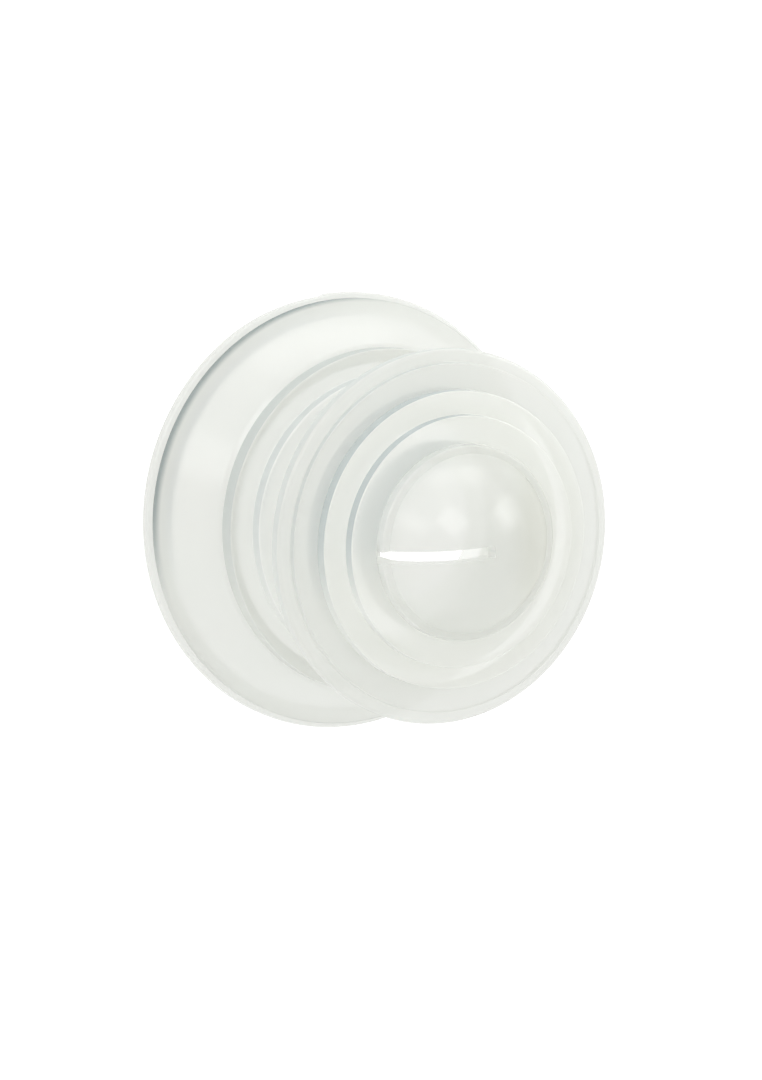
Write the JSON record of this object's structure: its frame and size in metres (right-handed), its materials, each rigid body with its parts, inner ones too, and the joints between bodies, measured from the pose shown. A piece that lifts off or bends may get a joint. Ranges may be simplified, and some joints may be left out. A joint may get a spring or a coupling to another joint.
{
  "type": "saliva ejector tip",
  "caption": "Clear soft slip-on tip with a bell-shaped skirt, a stepped round shield and a slotted dome nose, for the end of a suction tube.",
  "frame": {"origin": "middle of the rear rim's flat underside", "axes": "+Z along the axis of the tip, from the open rear to the nose; the slot faces -Y"},
  "size_m": [0.02, 0.02, 0.0139],
  "materials": {
    "clear_rim": "smooth clear moulding with a faint grey-green cast",
    "clear_body": "smooth clear moulding with a faint grey-green cast",
    "clear_shield": "smooth clear moulding with fine concentric steps",
    "clear_nose": "polished clear moulding",
    "clear_socket": "satin clear moulding"
  },
  "bodies": {
    "root": {"rear_rim": "clear_rim", "rear_bell": "clear_body", "stepped_shoulder": "clear_body", "neck_tube": "clear_body", "front_shield": "clear_shield", "stepped_hub": "clear_shield", "nose_cap": "clear_nose", "tube_socket": "clear_socket"}
  },
  "joints": []
}
